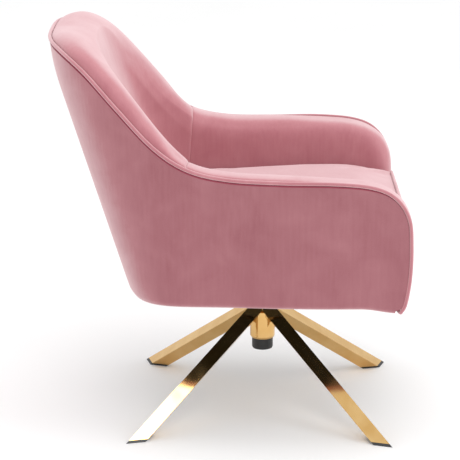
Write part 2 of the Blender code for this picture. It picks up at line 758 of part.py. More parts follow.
# ---- seat cushion ----------------------------------------------------------------------------------
def seat_outline(inset):
    """The space between arms and back at the cushion's underside, as (x, y)."""
    wall = Wall()
    half = []
    for share in ARM_COLUMNS + BACK_COLUMNS:
        level = wall.level_at(share, SEAT_BOTTOM - 0.002)
        half.append(wall.point(share, level, thickness(share) + SEAT_CLEARANCE + inset))
    front_y = SWIVEL_Y - SEAT_FRONT + inset
    half = [p for p in half if p.y > front_y + 0.004]
    half.insert(0, Vector((half[0].x, front_y, 0.0)))
    outline = [(p.x, p.y) for p in half]
    return outline + [(-x, y) for x, y in outline[::-1] if x > 0.0005]


def make_seat():
    cover = outline_solid("seat_cover", seat_outline(0.0), SEAT_BOTTOM - 0.002, SEAT_TOP, (PINK, 0.8, 0.0))
    hollow = outline_solid("seat_hollow", seat_outline(FABRIC), SEAT_BOTTOM - 0.02, SEAT_TOP - FABRIC,
                           (PINK, 0.8, 0.0))
    boolean(cover, hollow)
    outline_solid("seat_foam", seat_outline(FABRIC + GAP), SEAT_BOTTOM, SEAT_TOP - FABRIC - GAP,
                  (FOAM, 0.9, 0.0))
    front = SWIVEL_Y - SEAT_FRONT - PIPING_RADIUS * 0.4
    half = seat_outline(0.0)[0][0] - 0.004
    points = [(x, front - PIPING_RADIUS, SEAT_TOP) for x in shares(-half, half, 10)]
    tube("seat_piping", points, PIPING_RADIUS * 0.8, (PINK, 0.7, 0.0))


def make_front_border():
    """Padded board below the cushion's front edge, between the arms."""
    half = seat_outline(0.0)[0][0]
    top = SEAT_BOTTOM - 0.004
    bottom = LOWER_EDGE + 0.005
    middle_y = SWIVEL_Y - SEAT_FRONT + BORDER_DEPTH / 2
    box("front_border", (2 * half, BORDER_DEPTH, top - bottom), (0.0, middle_y, (top + bottom) / 2),
        (PINK, 0.8, 0.0))


def make_dust_cover():
    """Thin black lining under the seat frame, cut out round the swivel plate."""
    wall = Wall()
    half = [wall.point(share, 0.0, PANEL_INNER + 0.004) for share in shares(0.04, 1.0, 14)]
    outline = [(p.x, p.y) for p in half]
    outline += [(-x, y) for x, y in outline[::-1] if x > 0.0005]
    top = LOWER_EDGE - 0.0005
    lining = outline_solid("dust_cover", outline, top - LINING_THICKNESS, top, (LINING, 0.9, 0.0))
    bpy.ops.mesh.primitive_cube_add(size=PLATE_SIDE + 0.012, location=(0.0, SWIVEL_Y, top))
    boolean(lining, bpy.context.active_object)


start_clean()
parts = new_collection("swivel_armchair")
cutters = new_collection("cutters")

for place in LEG_AZIMUTHS:
    make_leg(f"leg_{place}", azimuth_of(place))
    make_foot(f"foot_{place}", azimuth_of(place))
make_hub()
make_spindle(make_thrust_bearing())
make_plate_and_screws()
make_springs(*make_seat_frame())
make_upholstered_parts()
make_arm_front("left_arm_front", 1.0)
make_arm_front("right_arm_front", -1.0)
make_outer_cover()
make_edge_piping()
make_seat()
make_front_border()
make_dust_cover()
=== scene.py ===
import math

import bmesh
import bpy
import numpy as np
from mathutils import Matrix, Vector


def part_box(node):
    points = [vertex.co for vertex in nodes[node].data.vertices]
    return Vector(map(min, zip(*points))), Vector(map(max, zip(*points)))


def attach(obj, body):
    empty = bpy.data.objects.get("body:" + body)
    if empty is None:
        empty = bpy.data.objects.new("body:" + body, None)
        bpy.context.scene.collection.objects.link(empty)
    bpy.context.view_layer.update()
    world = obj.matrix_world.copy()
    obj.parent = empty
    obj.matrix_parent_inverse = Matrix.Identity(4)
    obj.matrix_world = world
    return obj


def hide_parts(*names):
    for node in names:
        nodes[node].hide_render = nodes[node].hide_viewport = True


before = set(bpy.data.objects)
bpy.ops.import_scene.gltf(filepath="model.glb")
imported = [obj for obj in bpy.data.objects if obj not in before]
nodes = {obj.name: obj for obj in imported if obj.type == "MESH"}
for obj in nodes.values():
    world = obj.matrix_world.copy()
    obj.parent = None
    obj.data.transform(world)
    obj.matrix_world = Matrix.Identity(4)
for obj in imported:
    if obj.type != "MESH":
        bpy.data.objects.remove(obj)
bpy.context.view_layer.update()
print("frame loaded:", len(nodes), "CAD nodes")


# ---------- colours and nodes

def hexToLinear(code):
    # sRGB hex to the linear colour that Blender's sockets want
    channels = [int(code[i:i + 2], 16) / 255 for i in (1, 3, 5)]
    return tuple(c / 12.92 if c <= 0.04045 else ((c + 0.055) / 1.055) ** 2.4 for c in channels) + (1.0,)


def addNode(tree, kind, settings=None, links=None):
    # settings go to the sockets of that name or number, or else to the node itself
    node = tree.nodes.new(kind)
    for name, value in (settings or {}).items():
        if isinstance(name, int):
            node.inputs[name].default_value = value
        elif hasattr(node, name):
            setattr(node, name, value)
        else:
            node.inputs[name].default_value = value
    for name, source in (links or {}).items():
        tree.links.new(source, node.inputs[name])
    return node


def startMaterial(name):
    material = bpy.data.materials.new(name)
    material.use_nodes = True
    tree = material.node_tree
    tree.nodes.clear()
    place = addNode(tree, "ShaderNodeTexCoord").outputs["Object"]
    return material, tree, place


def finishMaterial(tree, settings, links):
    shader = addNode(tree, "ShaderNodeBsdfPrincipled", settings, links)
    addNode(tree, "ShaderNodeOutputMaterial", {}, {"Surface": shader.outputs[0]})


def colourRamp(tree, factor, stops):
    ramp = addNode(tree, "ShaderNodeValToRGB", {}, {"Fac": factor})
    elements = ramp.color_ramp.elements
    for i, (position, code) in enumerate(stops):
        element = elements[i] if i < 2 else elements.new(position)
        element.position = position
        element.color = hexToLinear(code)
    return ramp.outputs["Color"]


def noise(tree, place, scale, detail, distortion=0.0):
    texture = addNode(tree, "ShaderNodeTexNoise",
                      {"Scale": scale, "Detail": detail, "Distortion": distortion}, {"Vector": place})
    return texture.outputs["Fac"]


def bump(tree, height, strength, distance):
    node = addNode(tree, "ShaderNodeBump", {"Strength": strength, "Distance": distance}, {"Height": height})
    return node.outputs[0]


# ---------- materials

velvet = {
    "deep": "#8f585f",  # pile seen straight on
    "body": "#a87379",
    "paintedSheen": "#d6b5b8",  # painted sheen: pale colour where the surface is seen edge-on
    "padLitCopyDeep": "#a4666e", "padLitCopyBody": "#bb8288", "padLitCopySheen": "#dbbcbf",  # painted light: a lighter copy of the cover's velvet, lifting the pads' shaded inner faces; the last is their painted sheen
    "seam": "#8a3f4d",  # painted shade, darker and more saturated, for the groove under the welt
    "sheen": "#f6dfe1",
    "sheenWeight": 0.22,
    "patch": 0.085,  # metres, size of the brushed patches
    "streaks": 160.0,  # brushing marks in each metre
    "streakSqueeze": 0.12,  # draws the marks out along the height
    "pile": 0.0012,  # metres; real pile tufts are 0.3 mm, too fine to show
    "grazing": 0.42,  # how soon the painted sheen shows toward grazing angles
    "patchStrength": 0.34, "streakStrength": 0.13, "pileStrength": 0.14,
    "shade": -0.22,  # darkens the whole before patches, streaks and pile lighten it
}


def cutPileVelvet(name, colours, tint=0.0):
    # Polyester velvet, woven with a short cut pile that is steamed and brushed: dull and deep seen straight
    # on. Toward grazing angles the base colour turns pale, a painted sheen on top of the shader's own
    # sheen.
    material, tree, place = startMaterial(name)
    patches = noise(tree, place, 1 / velvet["patch"], 5.0, 0.8)
    drawnOut = addNode(tree, "ShaderNodeMapping", {"Scale": (1.0, 1.0, velvet["streakSqueeze"])},
                       {"Vector": place})
    streaks = noise(tree, drawnOut.outputs[0], velvet["streaks"], 2.0)
    pile = noise(tree, place, 1 / velvet["pile"], 3.0)
    # painted sheen: the facing value pushes the base colour toward the pale colour at grazing angles
    facing = addNode(tree, "ShaderNodeLayerWeight", {"Blend": velvet["grazing"]})
    lay = addNode(tree, "ShaderNodeMath",
                  {"operation": "MULTIPLY_ADD", 1: velvet["patchStrength"], 2: velvet["shade"] + tint},
                  {0: patches})
    streaky = addNode(tree, "ShaderNodeMath", {"operation": "MULTIPLY_ADD", 1: velvet["streakStrength"]},
                      {0: streaks, 2: lay.outputs[0]})
    grainy = addNode(tree, "ShaderNodeMath", {"operation": "MULTIPLY_ADD", 1: velvet["pileStrength"]},
                     {0: pile, 2: streaky.outputs[0]})
    level = addNode(tree, "ShaderNodeMath", {"operation": "ADD", "use_clamp": True},
                    {0: facing.outputs["Facing"], 1: grainy.outputs[0]})
    colour = colourRamp(tree, level.outputs[0], [
        (0.0, colours[0]), (1.0, colours[2]), (0.35, colours[1]),
    ])
    finishMaterial(tree, {
        "Roughness": 0.92, "Specular IOR Level": 0.2, "Sheen Weight": velvet["sheenWeight"],
        "Sheen Roughness": 0.45, "Sheen Tint": hexToLinear(velvet["sheen"]),
    }, {"Base Color": colour, "Normal": bump(tree, pile, 0.18, 0.0004)})
    return material


gold = {"dark": "#d2a868", "light": "#dcb77c", "polished": 0.06, "dulled": 0.13}


def goldPlatedSteel(name):
    # Square steel tube, linished, then electroplated pale gold and lacquered: near mirror,
    # with faint polishing marks.
    material, tree, place = startMaterial(name)
    marks = noise(tree, place, 420.0, 3.0)
    clouds = noise(tree, place, 22.0, 2.0)
    rough = addNode(tree, "ShaderNodeMapRange", {
        "From Min": 0.3, "From Max": 0.7, "To Min": gold["polished"], "To Max": gold["dulled"],
    }, {"Value": clouds})
    colour = colourRamp(tree, clouds, [(0.3, gold["dark"]), (0.7, gold["light"])])
    finishMaterial(tree, {"Metallic": 1.0}, {
        "Base Color": colour, "Roughness": rough.outputs[0], "Normal": bump(tree, marks, 0.05, 0.0001),
    })
    return material


def mixedColour(tree, factor, first, second):
    node = addNode(tree, "ShaderNodeMix", {"data_type": "RGBA", 6: first, 7: second}, {0: factor})
    return node.outputs[2]


def mouldedPlastic(name, code, roughness):
    # Injection-moulded plastic with the fine even texture of a spark-eroded mould.
    material, tree, place = startMaterial(name)
    grain = noise(tree, place, 1400.0, 2.0)
    wear = noise(tree, place, 60.0, 3.0)
    rough = addNode(tree, "ShaderNodeMapRange", {"To Min": roughness - 0.06, "To Max": roughness + 0.08},
                    {"Value": wear})
    base = hexToLinear(code)
    lighter = tuple(min(c * 1.5 + 0.004, 1.0) for c in base[:3]) + (1.0,)
    finishMaterial(tree, {"IOR": 1.49}, {
        "Base Color": mixedColour(tree, wear, base, lighter), "Roughness": rough.outputs[0],
        "Normal": bump(tree, grain, 0.15, 0.0001),
    })
    return material


def zincPlatedSteel(name):
    # Turned or drawn steel with a bright zinc coat: grey, satin, slightly cloudy.
    material, tree, place = startMaterial(name)
    clouds = noise(tree, place, 130.0, 4.0)
    rough = addNode(tree, "ShaderNodeMapRange", {"To Min": 0.24, "To Max": 0.42}, {"Value": clouds})
    base = hexToLinear("#b9babc")
    darker = tuple(c * 0.8 for c in base[:3]) + (1.0,)
    finishMaterial(tree, {"Metallic": 1.0}, {
        "Base Color": mixedColour(tree, clouds, base, darker), "Roughness": rough.outputs[0],
    })
    return material


def powderCoatedSteel(name):
    # Steel plate, black powder coat baked on: half matt with a slight orange peel.
    material, tree, place = startMaterial(name)
    peel = noise(tree, place, 700.0, 1.0)
    colour = colourRamp(tree, peel, [(0.3, "#141414"), (0.7, "#1e1e1e")])
    finishMaterial(tree, {"Roughness": 0.5, "IOR": 1.5},
                   {"Base Color": colour, "Normal": bump(tree, peel, 0.2, 0.0002)})
    return material


def sawnPlywood(name):
    # Poplar plywood and sawn softwood, unfinished: pale, with growth rings and no gloss.
    material, tree, place = startMaterial(name)
    layered = addNode(tree, "ShaderNodeMapping", {"Scale": (1.0, 1.0, 6.0)}, {"Vector": place})
    rings = noise(tree, layered.outputs[0], 45.0, 5.0, 1.2)
    colour = colourRamp(tree, rings, [(0.3, "#b98d5c"), (0.7, "#dcbf92")])
    finishMaterial(tree, {"Roughness": 0.7},
                   {"Base Color": colour, "Normal": bump(tree, rings, 0.3, 0.0003)})
    return material


def spunbondLining(name):
    # Spunbonded polypropylene cloth, black: matt, with the small square marks of the
    # heated roller that bonds its fibres.
    material, tree, place = startMaterial(name)
    marks = addNode(tree, "ShaderNodeTexVoronoi", {
        "Scale": 500.0, "Randomness": 0.15, "distance": "CHEBYCHEV",
    }, {"Vector": place})
    fibres = noise(tree, place, 900.0, 3.0)
    colour = colourRamp(tree, fibres, [(0.3, "#0a0a0a"), (0.75, "#1b1b1c")])
    finishMaterial(tree, {"Roughness": 0.85, "Specular IOR Level": 0.3},
                   {"Base Color": colour, "Normal": bump(tree, marks.outputs["Distance"], 0.3, 0.0002)})
    return material


coverColours = (velvet["deep"], velvet["body"], velvet["paintedSheen"])
padLitCopyColours = (velvet["padLitCopyDeep"], velvet["padLitCopyBody"], velvet["padLitCopySheen"])
pinkVelvet = cutPileVelvet("pinkVelvet", coverColours)
# the pads take a lighter copy of the same velvet: painted light for their shaded inner faces
padLitCopyVelvet = cutPileVelvet("padLitCopyVelvet", padLitCopyColours)
# painted shade for the groove between the outer cover and the welt
paintedShadeVelvet = cutPileVelvet("paintedShadeVelvet", (velvet["seam"], velvet["seam"], velvet["seam"]))
# the welt takes the pads' lighter copy lifted 0.05 further toward the pale colour: painted light
weltVelvet = cutPileVelvet("weltVelvet", padLitCopyColours, 0.05)
goldSteel = goldPlatedSteel("goldSteel")
blackPlastic = mouldedPlastic("blackPlastic", "#121213", 0.42)
naturalNylon = mouldedPlastic("naturalNylon", "#d9d6c8", 0.45)
zincSteel = zincPlatedSteel("zincSteel")
blackPlate = powderCoatedSteel("blackPlate")
plywood = sawnPlywood("plywood")
lining = spunbondLining("lining")
print("materials made")


# ---------- the body's surface, which every cover and pad follows

bodyShape = {
    "swivelY": -0.0690,
    # rim seen from the side: distance in front of the swivel axis, height
    "edge": [
        (0.2535, 0.2940), (0.2650, 0.3020), (0.2725, 0.3210), (0.279, 0.360), (0.2805, 0.420),
        (0.275, 0.478), (0.249, 0.519), (0.205, 0.540), (0.130, 0.5475), (0.020, 0.548),
        (-0.075, 0.552), (-0.150, 0.5695), (-0.215, 0.612), (-0.285, 0.685), (-0.345, 0.7475),
        (-0.395, 0.782), (-0.430, 0.794),
    ],
    "cornerPoint": 6,  # the point of the rim where the arm's front turns into its top
    "halfWidth": 0.3162, "taper": 0.0205, "taperFront": 0.14, "taperLength": 0.30,
    "backReach": 0.2700, "rake": 0.3398, "curlHeight": 0.70, "curl": 1.37,
    "lowerEdge": 0.2955, "lowerTilt": 0.0060,
    # rounded rear corner seen from above: depth and squareness, low and this much higher
    "cornerDepth": (0.2134, 0.340), "cornerPower": (4.46, 3.10), "cornerRise": 0.50,
    "columnSpread": 1.9, "normalReach": 0.07,
    "armThickness": 0.0805, "backThickness": 0.098,
    # seam between arm and back, as (forward, height)
    "seamTop": (-0.1490, 0.572), "seamLow": (-0.1600, 0.456),
    "armReach": 0.055,  # the arm's inward direction is evened out this far each way
}
curveSteps = 10  # between two points of the rim


def smoothStep(value):
    value = min(max(value, 0.0), 1.0)
    return value * value * (3 - 2 * value)


def mix(a, b, t):
    return a + (b - a) * t


def curveThrough(points, steps):
    # Catmull-Rom curve, with so many steps between two points
    ends = [points[0], *points, points[-1]]
    result = []
    for a, b, c, d in zip(ends, ends[1:], ends[2:], ends[3:]):
        for step in range(steps):
            t = step / steps
            weights = ((-t + 2 * t * t - t ** 3) / 2, (2 - 5 * t * t + 3 * t ** 3) / 2,
                       (t + 4 * t * t - 3 * t ** 3) / 2, (t ** 3 - t * t) / 2)
            result.append(tuple(sum(w * p[k] for w, p in zip(weights, (a, b, c, d)))
                                for k in range(len(b))))
    result.append(tuple(points[-1]))
    return result


def offsetCurve(points, drop):
    moved = []
    for i, (forward, height) in enumerate(points):
        before = points[max(i - 1, 0)]
        after = points[min(i + 1, len(points) - 1)]
        run = Vector((after[0] - before[0], after[1] - before[1])).normalized()
        moved.append((forward - run.y * drop, height + run.x * drop))
    return moved


def lookUp(pairs, value):
    return float(np.interp(value, pairs[0], pairs[1]))


def backReach(height):
    curl = max(height - bodyShape["curlHeight"], 0.0)
    return (bodyShape["backReach"] + (height - bodyShape["lowerEdge"]) * bodyShape["rake"]
            - bodyShape["curl"] * curl * curl)


def halfWidth(forward):
    taper = smoothStep((bodyShape["taperFront"] - forward) / bodyShape["taperLength"])
    return bodyShape["halfWidth"] - bodyShape["taper"] * taper


def cornerAt(height):
    # depth and power of the rear corner's superellipse at a height
    rise = min(max((height - bodyShape["lowerEdge"]) / bodyShape["cornerRise"], 0.0), 1.0)
    return mix(*bodyShape["cornerDepth"], rise), mix(*bodyShape["cornerPower"], rise)


def acrossAt(forward, height):
    # distance from the middle plane to the outer face
    depth, power = cornerAt(height)
    part = min(max((depth - backReach(height) - forward) / depth, 0.0), 1.0)
    return halfWidth(forward) * (1 - part ** power) ** (1 / power)


edgeCurve = curveThrough(bodyShape["edge"], curveSteps)
cornerIndex = bodyShape["cornerPoint"] * curveSteps


class Wall:
    # The body's outer face, with its rim moved inwards by drop. A place on it has a share of
    # the run from an arm's front, 0, by the rear corner's start, 0.5, to the back's middle, 1,
    # and a level from the lower edge, 0, to the rim, 1.

    def __init__(self, drop=0.0):
        edge = offsetCurve(edgeCurve, drop)
        self.corner = edge[cornerIndex]
        front = np.array(edge[:cornerIndex + 1])
        top = np.array(edge[cornerIndex:])
        self.front = (front[:, 1], front[:, 0])
        self.top = (-top[:, 0], top[:, 1])
        self.heights = {}

    def plan(self, share, level, height):
        depth, power = cornerAt(height)
        cornerStart = depth - backReach(height)
        if share <= 0.5:
            low = self.front[0][0]
            front = lookUp(self.front, low + level * (self.corner[1] - low))
            forward = mix(front, cornerStart, share / 0.5)
            return forward, halfWidth(forward)
        part = 2 * share - 1
        near, far = part ** bodyShape["columnSpread"], (1 - part) ** bodyShape["columnSpread"]
        angle = near / (near + far) * math.pi / 2
        forward = cornerStart - depth * math.sin(angle) ** (2 / power)
        return forward, halfWidth(forward) * max(math.cos(angle), 0.0) ** (2 / power)

    def topHeight(self, share):
        key = round(share, 7)
        if key not in self.heights:
            height = self.corner[1]
            for _ in range(30):
                forward, _ = self.plan(share, 1.0, height)
                height += 0.4 * (lookUp(self.top, -forward) - height)
            self.heights[key] = height
        return self.heights[key]

    def bottomHeight(self, share):
        forward, _ = self.plan(share, 0.0, bodyShape["lowerEdge"])
        return bodyShape["lowerEdge"] + bodyShape["lowerTilt"] * forward

    def surface(self, share, level):
        height = mix(self.bottomHeight(share), self.topHeight(share), level)
        forward, across = self.plan(share, level, height)
        return Vector((across, bodyShape["swivelY"] - forward, height))

    def inward(self, share, level):
        step = bodyShape["normalReach"]
        before = self.surface(max(share - step, 0.0), level)
        after = self.surface(min(share + step, 1.0), level)
        if share >= 1.0:
            after = Vector((-before.x, before.y, before.z))
        run = Vector((after.x - before.x, after.y - before.y, 0.0)).normalized()
        return Vector((-run.y, run.x, 0.0))

    def point(self, share, level, inset=0.0):
        place = self.surface(share, level)
        if inset:
            place += inset * self.inward(share, level)
        return place

    def up(self, share):
        # direction in which the padding stands up from the rim
        step = 0.01
        run = self.surface(min(share + step, 1.0), 1.0) - self.surface(max(share - step, 0.0), 1.0)
        rise = self.surface(share, 1.0) - self.surface(share, 0.6)
        run.normalize()
        return (rise - rise.dot(run) * run).normalized()

    def levelAt(self, share, height):
        low = self.bottomHeight(share)
        return (height - low) / (self.topHeight(share) - low)


def shares(first, last, count):
    return [mix(first, last, i / count) for i in range(count + 1)]


def flipped(points):
    return [Vector((-p.x, p.y, p.z)) for p in points]


def bothWays(rows):
    # rows from one side to the middle, the last one, and on to the other side
    return rows + [flipped(row) for row in rows[-2::-1]]


# ---------- mesh helpers

def newPiece(name, mesh, material):
    piece = bpy.data.objects.new(name, mesh)
    bpy.context.scene.collection.objects.link(piece)
    mesh.materials.append(material)
    mesh.shade_smooth()
    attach(piece, "seat_body")
    return piece


def gridMesh(name, rows, closed=False, capped=False):
    # one quad between each two rows and columns; closed joins a row's last point to its first
    bm = bmesh.new()
    made = [[bm.verts.new(point) for point in row] for row in rows]
    count = len(rows[0])
    for lower, upper in zip(made, made[1:]):
        for i in range(count if closed else count - 1):
            j = (i + 1) % count
            corners = []
            for vert in (lower[i], lower[j], upper[j], upper[i]):
                if vert not in corners:
                    corners.append(vert)
            bm.faces.new(corners)
    if capped:
        bm.faces.new(made[0][::-1])
        bm.faces.new(made[-1])
    bmesh.ops.remove_doubles(bm, verts=bm.verts, dist=0.00001)
    bmesh.ops.recalc_face_normals(bm, faces=bm.faces)
    mesh = bpy.data.meshes.new(name)
    bm.to_mesh(mesh)
    bm.free()
    return mesh


def evaluated(piece):
    return piece.evaluated_get(bpy.context.evaluated_depsgraph_get())


def weltTube(name, points, radius):
    # a fabric-covered cord along the points
    curve = bpy.data.curves.new(name, "CURVE")
    curve.dimensions = "3D"
    curve.bevel_depth = radius
    curve.bevel_resolution = 5
    curve.use_fill_caps = True
    spline = curve.splines.new("POLY")
    spline.points.add(len(points) - 1)
    for point, place in zip(spline.points, points):
        point.co = (*place, 1.0)
    holder = bpy.data.objects.new(name, curve)
    bpy.context.scene.collection.objects.link(holder)
    mesh = bpy.data.meshes.new_from_object(evaluated(holder))
    bpy.data.objects.remove(holder)
    return newPiece(name, mesh, weltVelvet)


def subdivide(piece):
    modifier = piece.modifiers.new("smoother", "SUBSURF")
    modifier.levels = 1
    modifier.render_levels = 1


# ---------- cloth

clothValues = {
    "voxel": 0.006, "frames": 20, "pressure": 4.0, "tension": 20.0, "bending": 2.0,
    "mostMove": 0.007,  # metres, the cover is held back beyond this
}


def vertPlaces(mesh):
    places = np.empty(len(mesh.vertices) * 3)
    mesh.vertices.foreach_get("co", places)
    return places.reshape(-1, 3)


def remeshEvenly(piece):
    remesh = piece.modifiers.new("evenMesh", "REMESH")
    remesh.mode = "VOXEL"
    remesh.voxel_size = clothValues["voxel"]
    mesh = bpy.data.meshes.new_from_object(evaluated(piece))
    piece.modifiers.clear()
    piece.data = mesh
    mesh.shade_smooth()
    return mesh


def sewBelow(piece, height):
    # the cover is held still below this height
    sewn = piece.vertex_groups.new(name="sewn")
    for vert in piece.data.vertices:
        sewn.add([vert.index], smoothStep((height - vert.co.z) / clothValues["voxel"]), "REPLACE")
    return sewn


def addCloth(piece, sewn):
    settings = piece.modifiers.new("cloth", "CLOTH").settings
    settings.use_pressure = True
    settings.uniform_pressure_force = clothValues["pressure"]
    settings.tension_stiffness = clothValues["tension"]
    settings.compression_stiffness = clothValues["tension"]
    settings.bending_stiffness = clothValues["bending"]
    settings.vertex_group_mass = sewn.name
    settings.effector_weights.gravity = 0.0


def puffOut(piece, sewnBelow):
    # the cover is blown out by its filling
    mesh = remeshEvenly(piece)
    addCloth(piece, sewBelow(piece, sewnBelow))
    before = vertPlaces(mesh)
    for frameNumber in range(1, clothValues["frames"] + 1):
        bpy.context.scene.frame_set(frameNumber)
    move = vertPlaces(evaluated(piece).to_mesh()) - before
    length = np.maximum(np.linalg.norm(move, axis=1, keepdims=True), 1e-9)
    most = clothValues["mostMove"]
    move *= most * np.tanh(length / most) / length
    print(piece.name, "puffed out by", round(float(np.abs(move).max()) * 1000, 1), "mm")
    piece.modifiers.clear()
    mesh.vertices.foreach_set("co", (before + move).ravel())
    mesh.update()
    bpy.context.scene.frame_set(1)


# ---------- outer cover

outerCoverValues = {
    "underRim": 0.0040,  # the cover ends this far under the rim line, below the welt
    "rimRoll": 0.0020,
    "rimTurnIn": (0.007, 0.010), "rimTurnDown": 0.006,
    "rimFaces": 5,  # rows of faces in the roll and its turned-in edge, which take the painted shade
    "lowerRadius": 0.010,
    "tuck": (0.032, 0.022, 0.015),  # turned in under the frame
    "frontDip": 0.0085,  # the front lower corners hang this much lower
    "dipFrom": 0.185, "dipLength": 0.075,  # along the arm, in front of the swivel axis
    "dipTop": 0.36, "dipHeight": 0.05,
    "flat": (1.86, 0.60), "flatArea": 0.66,  # metres, as cut before it is fixed
}


def frontDip(forward):
    along = (forward - outerCoverValues["dipFrom"]) / outerCoverValues["dipLength"]
    return outerCoverValues["frontDip"] * smoothStep(along)


def dipFall(height):
    # the dip's share that is left at a height
    return smoothStep((outerCoverValues["dipTop"] - height) / outerCoverValues["dipHeight"])


def lowerRounding(rise):
    # how far the rounded lower edge lies inside, at a height above it
    radius = outerCoverValues["lowerRadius"]
    part = 1 - min(rise / radius, 1.0)
    return radius * (1 - math.sqrt(1 - part * part))


def lowerEdgePoints(wall, share):
    # turned in under the frame, then round the lower edge
    points = [wall.point(share, 0.0, inset) for inset in outerCoverValues["tuck"]]
    radius = outerCoverValues["lowerRadius"]
    for i in range(6):
        angle = math.pi / 2 * (1 - i / 6)
        place = wall.point(share, 0.0, radius * (1 - math.cos(angle)))
        place.z += radius * (1 - math.sin(angle))
        points.append(place)
    return points


def rimPoints(wall, share):
    # rolled over at the rim, then turned down inside it
    points = []
    roll = outerCoverValues["rimRoll"]
    for i in range(1, 4):
        angle = math.pi / 2 * i / 3
        place = wall.point(share, 1.0, roll * (1 - math.cos(angle)))
        place.z -= roll * (1 - math.sin(angle))
        points.append(place)
    near, far = outerCoverValues["rimTurnIn"]
    points.append(wall.point(share, 1.0, near))
    points.append(wall.point(share, 1.0, far) - Vector((0, 0, outerCoverValues["rimTurnDown"])))
    return points


def coverSection(wall, share):
    points = lowerEdgePoints(wall, share)
    height = wall.topHeight(share) - wall.bottomHeight(share)
    low = outerCoverValues["lowerRadius"] / height
    high = 1 - outerCoverValues["rimRoll"] / height
    points += [wall.point(share, level) for level in shares(low, high, 26)]
    points += rimPoints(wall, share)
    for place in points:
        place.z -= frontDip(bodyShape["swivelY"] - place.y) * dipFall(place.z)
    return points


def makeOuterCover():
    wall = Wall(outerCoverValues["underRim"])
    columns = shares(0.0, 0.5, 48) + shares(0.5, 1.0, 60)[1:]
    sections = [coverSection(wall, share) for share in columns]
    mesh = gridMesh("outerCover", bothWays(sections))
    piece = newPiece("outerCover", mesh, pinkVelvet)
    mesh.materials.append(paintedShadeVelvet)
    count = len(sections[0]) - 1
    for face in mesh.polygons:
        # the rolled rim, last in each row, takes the painted shade
        face.material_index = int(face.index % count >= count - outerCoverValues["rimFaces"])
    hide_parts("outer_cover")
    subdivide(piece)


# ---------- edge welt

weltValues = {
    "radius": 0.0037, "inset": 0.0012,
    "lowLevel": 0.026,  # level on the body where the welt starts to turn in
    "roundingFollow": 1.25,  # how closely it follows the cover's rounded lower edge
    "lowTurn": 0.0028, "turnBack": 0.6,
    "endStep": (-0.004, 0.002), "endRise": 0.001, "endPoints": 3,
}


def weltFront(wall):
    # up the arm's front, from the lower corner to the top of the front corner
    points = []
    for level in shares(weltValues["lowLevel"], 1.0, 60):
        rise = wall.surface(0.0, level).z - wall.bottomHeight(0.0)
        inset = weltValues["inset"] + weltValues["roundingFollow"] * lowerRounding(rise)
        place = wall.point(0.0, level, inset)
        place.z -= outerCoverValues["frontDip"] * dipFall(place.z)
        points.append(place)
    return points


def weltLowerEnd(first):
    # turned in under the frame at the front lower corner
    turn = weltValues["lowTurn"]
    points = []
    for angle in shares(0.0, math.pi / 2, 6)[1:]:
        inwards = turn * (1 - math.cos(angle))
        back = weltValues["turnBack"] * inwards
        points.append(first + Vector((-inwards, back, -turn * math.sin(angle))))
    for i in range(1, weltValues["endPoints"] + 1):
        points.append(points[-1] + Vector((*weltValues["endStep"], weltValues["endRise"] * i)))
    return points[::-1]


def makeEdgeWelt():
    wall = Wall()
    inset = weltValues["inset"]
    front = weltFront(wall)
    half = weltLowerEnd(front[0]) + front
    half += [wall.point(share, 1.0, inset) for share in shares(0.0, 0.5, 70)[1:]]
    half += [wall.point(share, 1.0, inset) for share in shares(0.5, 1.0, 90)[1:]]
    piece = weltTube("edgeWelt", half + flipped(half[-2::-1]), weltValues["radius"])
    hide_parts("edge_piping")


# ---------- arm pads

armPadValues = {
    "crown": 0.0065,  # how far the pad stands above the rim along the arm
    "crownBeforeCorner": 0.0005,
    "crownEnd": 0.02, "crownFade": 0.13,  # forward of the swivel axis
    "frontCrown": 0.0045, "frontStart": 0.235, "frontFade": 0.03,
    "seamCrown": 0.0075, "seamFade": 0.035,
    "seamDepth": 0.0022,
    "seamWidth": 0.0035,
    "turnToSeam": 0.12,  # over this length the pad's section turns parallel to the seam
    "lap": 0.0070,  # runs this far into the back pad, so that the seam closes
    "bottom": 0.385,
    "mostForward": 0.18,  # the inner face's lower points gather behind this
    # section across the top: distance inside the outer face, share of the crown, drop
    "arch": [
        (0.0045, 0.0, 0.0040), (0.0062, 0.25, 0.0), (0.0120, 0.78, 0.0), (0.0240, 1.0, 0.0),
        (0.0400, 0.97, 0.0), (0.0560, 0.60, 0.001), (0.0680, 0.0, 0.0075), (0.0760, 0.0, 0.0185),
        (0.0800, 0.0, 0.034), (bodyShape["armThickness"], 0.0, 0.052),
    ],
    "facePoints": 14,  # down the inner face
    "panelDrop": 0.016,
    "faceFrom": 0.5, "faceLength": 0.45,  # shares of the thickness, from crown to inner face
    "outerFade": 0.02,  # the crown dives less this near the outer face
}
hiddenSide = {
    "inset": 0.0190,  # against the plywood, for every pad
    "rimInset": 0.0085,  # under the rim
    "footStep": 0.02,
}


def seamDive(distance):
    return armPadValues["seamDepth"] * math.exp(-distance / armPadValues["seamWidth"])


def diveShares(inset, depth):
    # how much of the dive pulls in the inner face, and how much lowers the crown
    start, length = armPadValues["faceFrom"] * depth, armPadValues["faceLength"] * depth
    facing = smoothStep((inset - start) / length)
    return facing, (1 - facing) * smoothStep(inset / armPadValues["outerFade"])


def seamPoint(height):
    (topForward, topHeight), (lowForward, lowHeight) = bodyShape["seamTop"], bodyShape["seamLow"]
    t = (topHeight - height) / (topHeight - lowHeight)
    return mix(topForward, lowForward, t)


